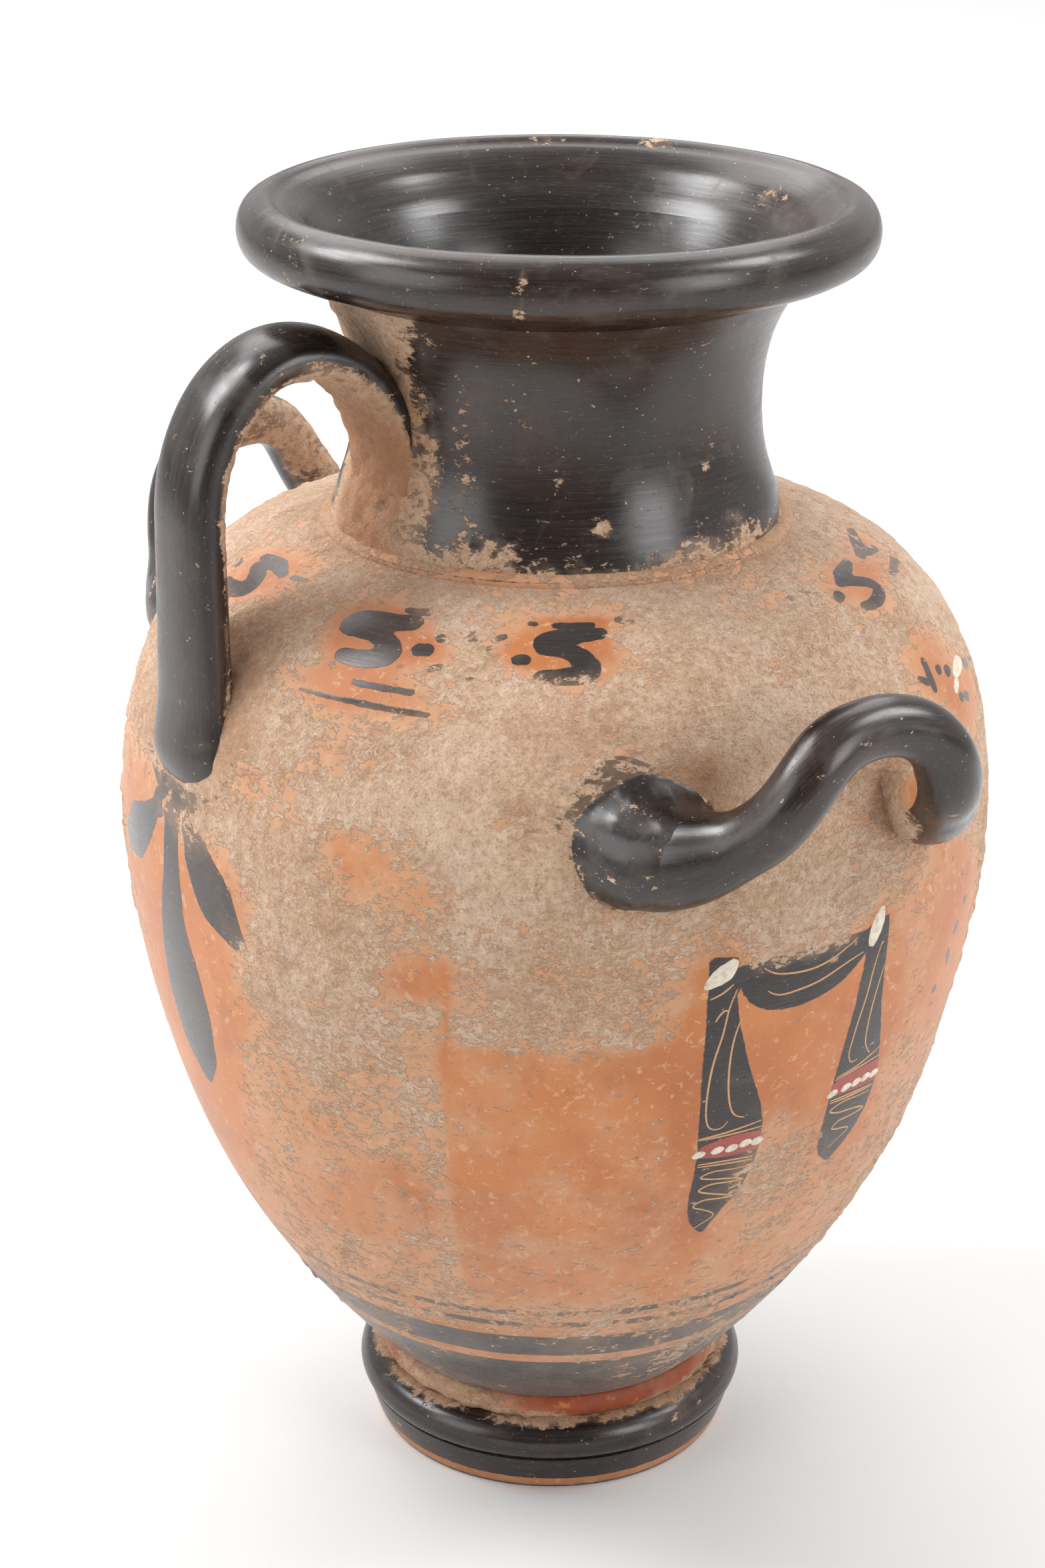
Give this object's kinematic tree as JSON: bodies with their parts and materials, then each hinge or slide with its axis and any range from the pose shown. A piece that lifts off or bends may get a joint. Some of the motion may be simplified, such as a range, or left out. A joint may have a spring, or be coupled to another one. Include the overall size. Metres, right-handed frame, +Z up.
{
  "type": "hydria",
  "caption": "Ceramic water jar with an upright strap handle, side handles, a flaring neck, a rolled mouth and a ring foot.",
  "frame": {"origin": "centre of the ring that the foot rests on, at floor level", "axes": "+Z up along the axis of the jar; -X through the upright strap handle; -Y through one side handle"},
  "size_m": [0.2628, 0.3263, 0.4],
  "materials": {
    "orange_clay": "matte fired clay, partly under a dry soil crust",
    "black_slip": "semi-gloss black slip, brushed on, worn and chipped",
    "added_red": "matte added red",
    "added_white": "matte added white"
  },
  "bodies": {
    "root": {"foot": "black_slip", "foot_fillet": "added_red", "lower_body": "orange_clay", "shoulder": "orange_clay", "neck_fillet": "orange_clay", "neck": "black_slip", "mouth": "black_slip", "strap_handle": "black_slip", "side_handle_near": "black_slip", "side_handle_far": "black_slip", "side_handle_near_pad_left": "black_slip", "side_handle_near_pad_right": "black_slip", "side_handle_far_pad_left": "black_slip", "side_handle_far_pad_right": "black_slip"}
  },
  "joints": []
}
